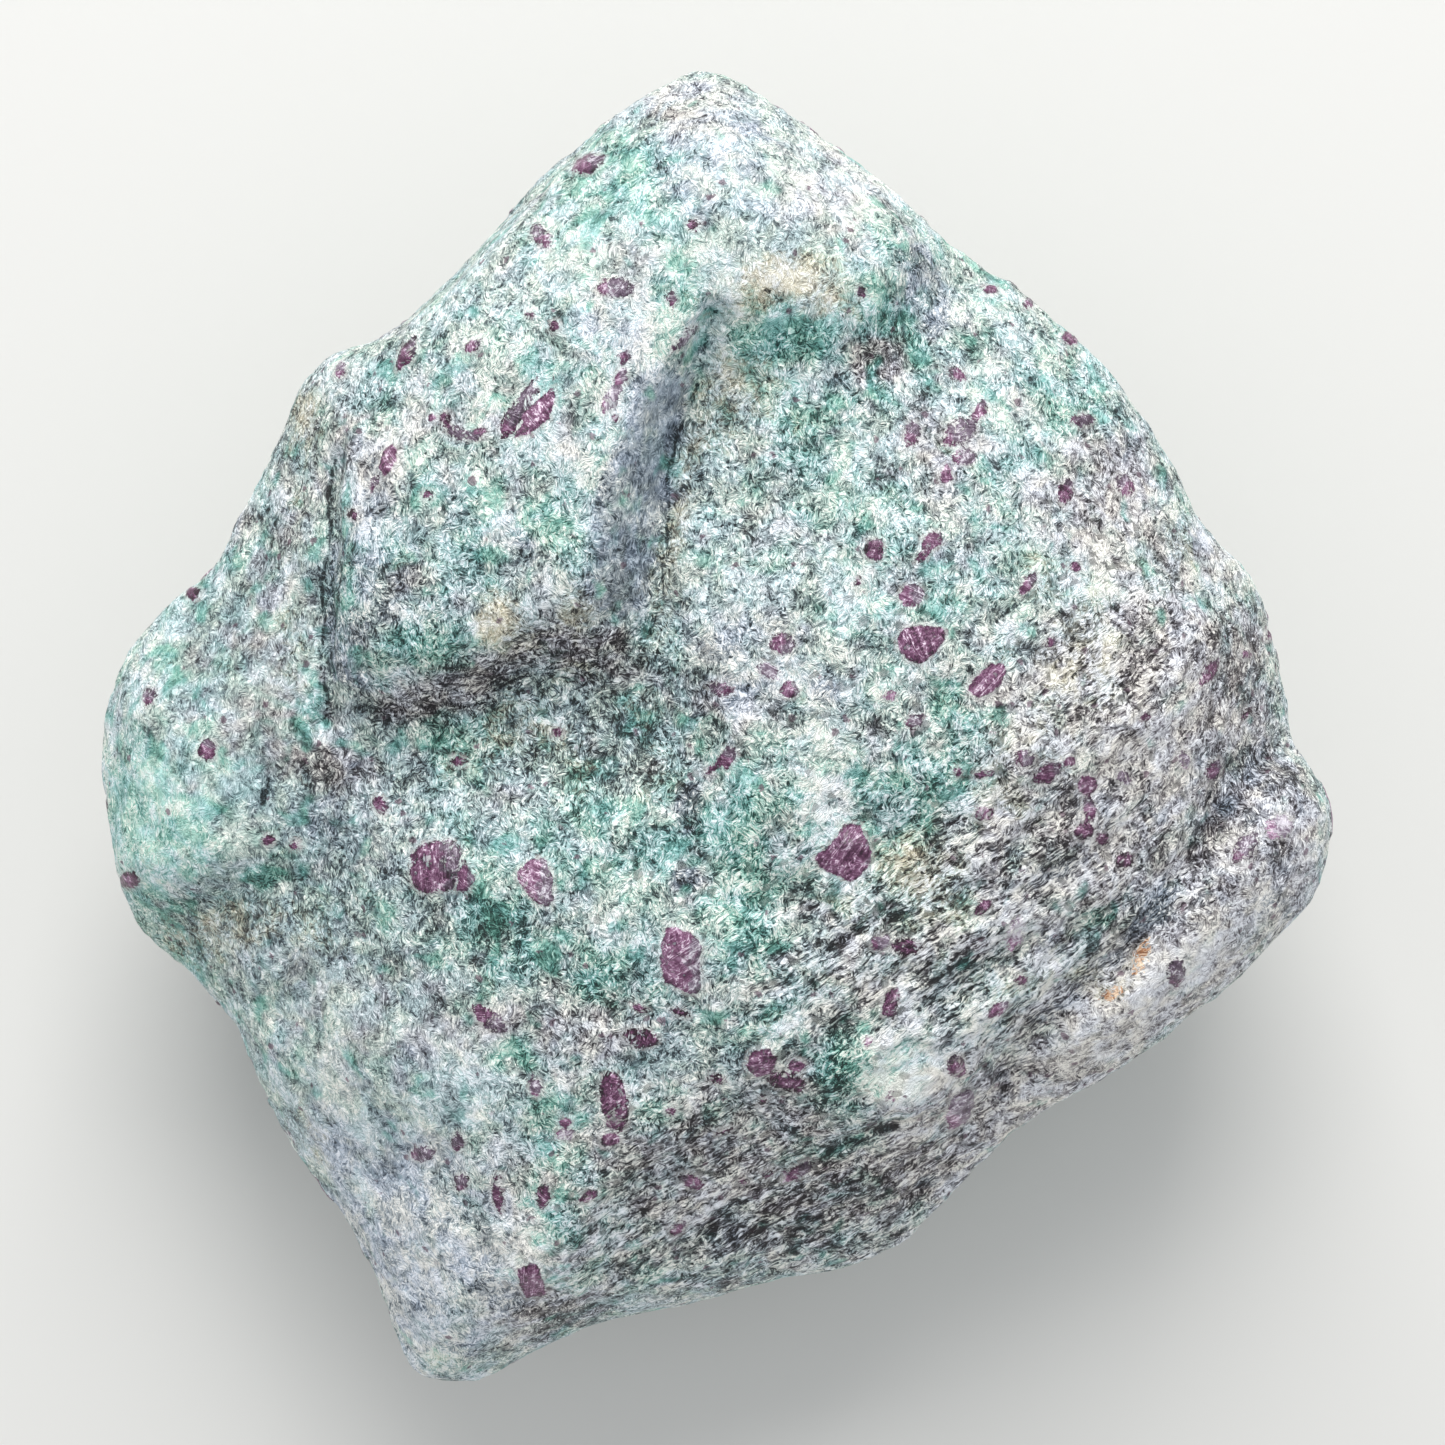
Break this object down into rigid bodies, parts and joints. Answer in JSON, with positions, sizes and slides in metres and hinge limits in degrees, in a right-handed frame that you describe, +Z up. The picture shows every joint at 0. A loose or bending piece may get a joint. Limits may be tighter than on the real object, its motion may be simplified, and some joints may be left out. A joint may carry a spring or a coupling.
{
  "type": "ruby in fuchsite stone",
  "caption": "Worn lump of green mica rock with magenta ruby crystals set in it, shaped by ledges and hollows; a display or study stone that lies on its flattest side.",
  "frame": {"origin": "centre of the bounding box in X and Y, on the plane that the stone rests on", "axes": "+Z up, out of the broken face that shows the ledges; +Y towards the pointed corner behind the ledges; +X to the right when seen from above with +Y away"},
  "size_m": [0.1054, 0.111, 0.0534],
  "materials": {
    "fuchsite_rock": "worn smooth, waxy shine, sea green and grey with white mica flakes and magenta ruby grains"
  },
  "bodies": {
    "root": {"ruby_fuchsite_stone": "fuchsite_rock"}
  },
  "joints": []
}
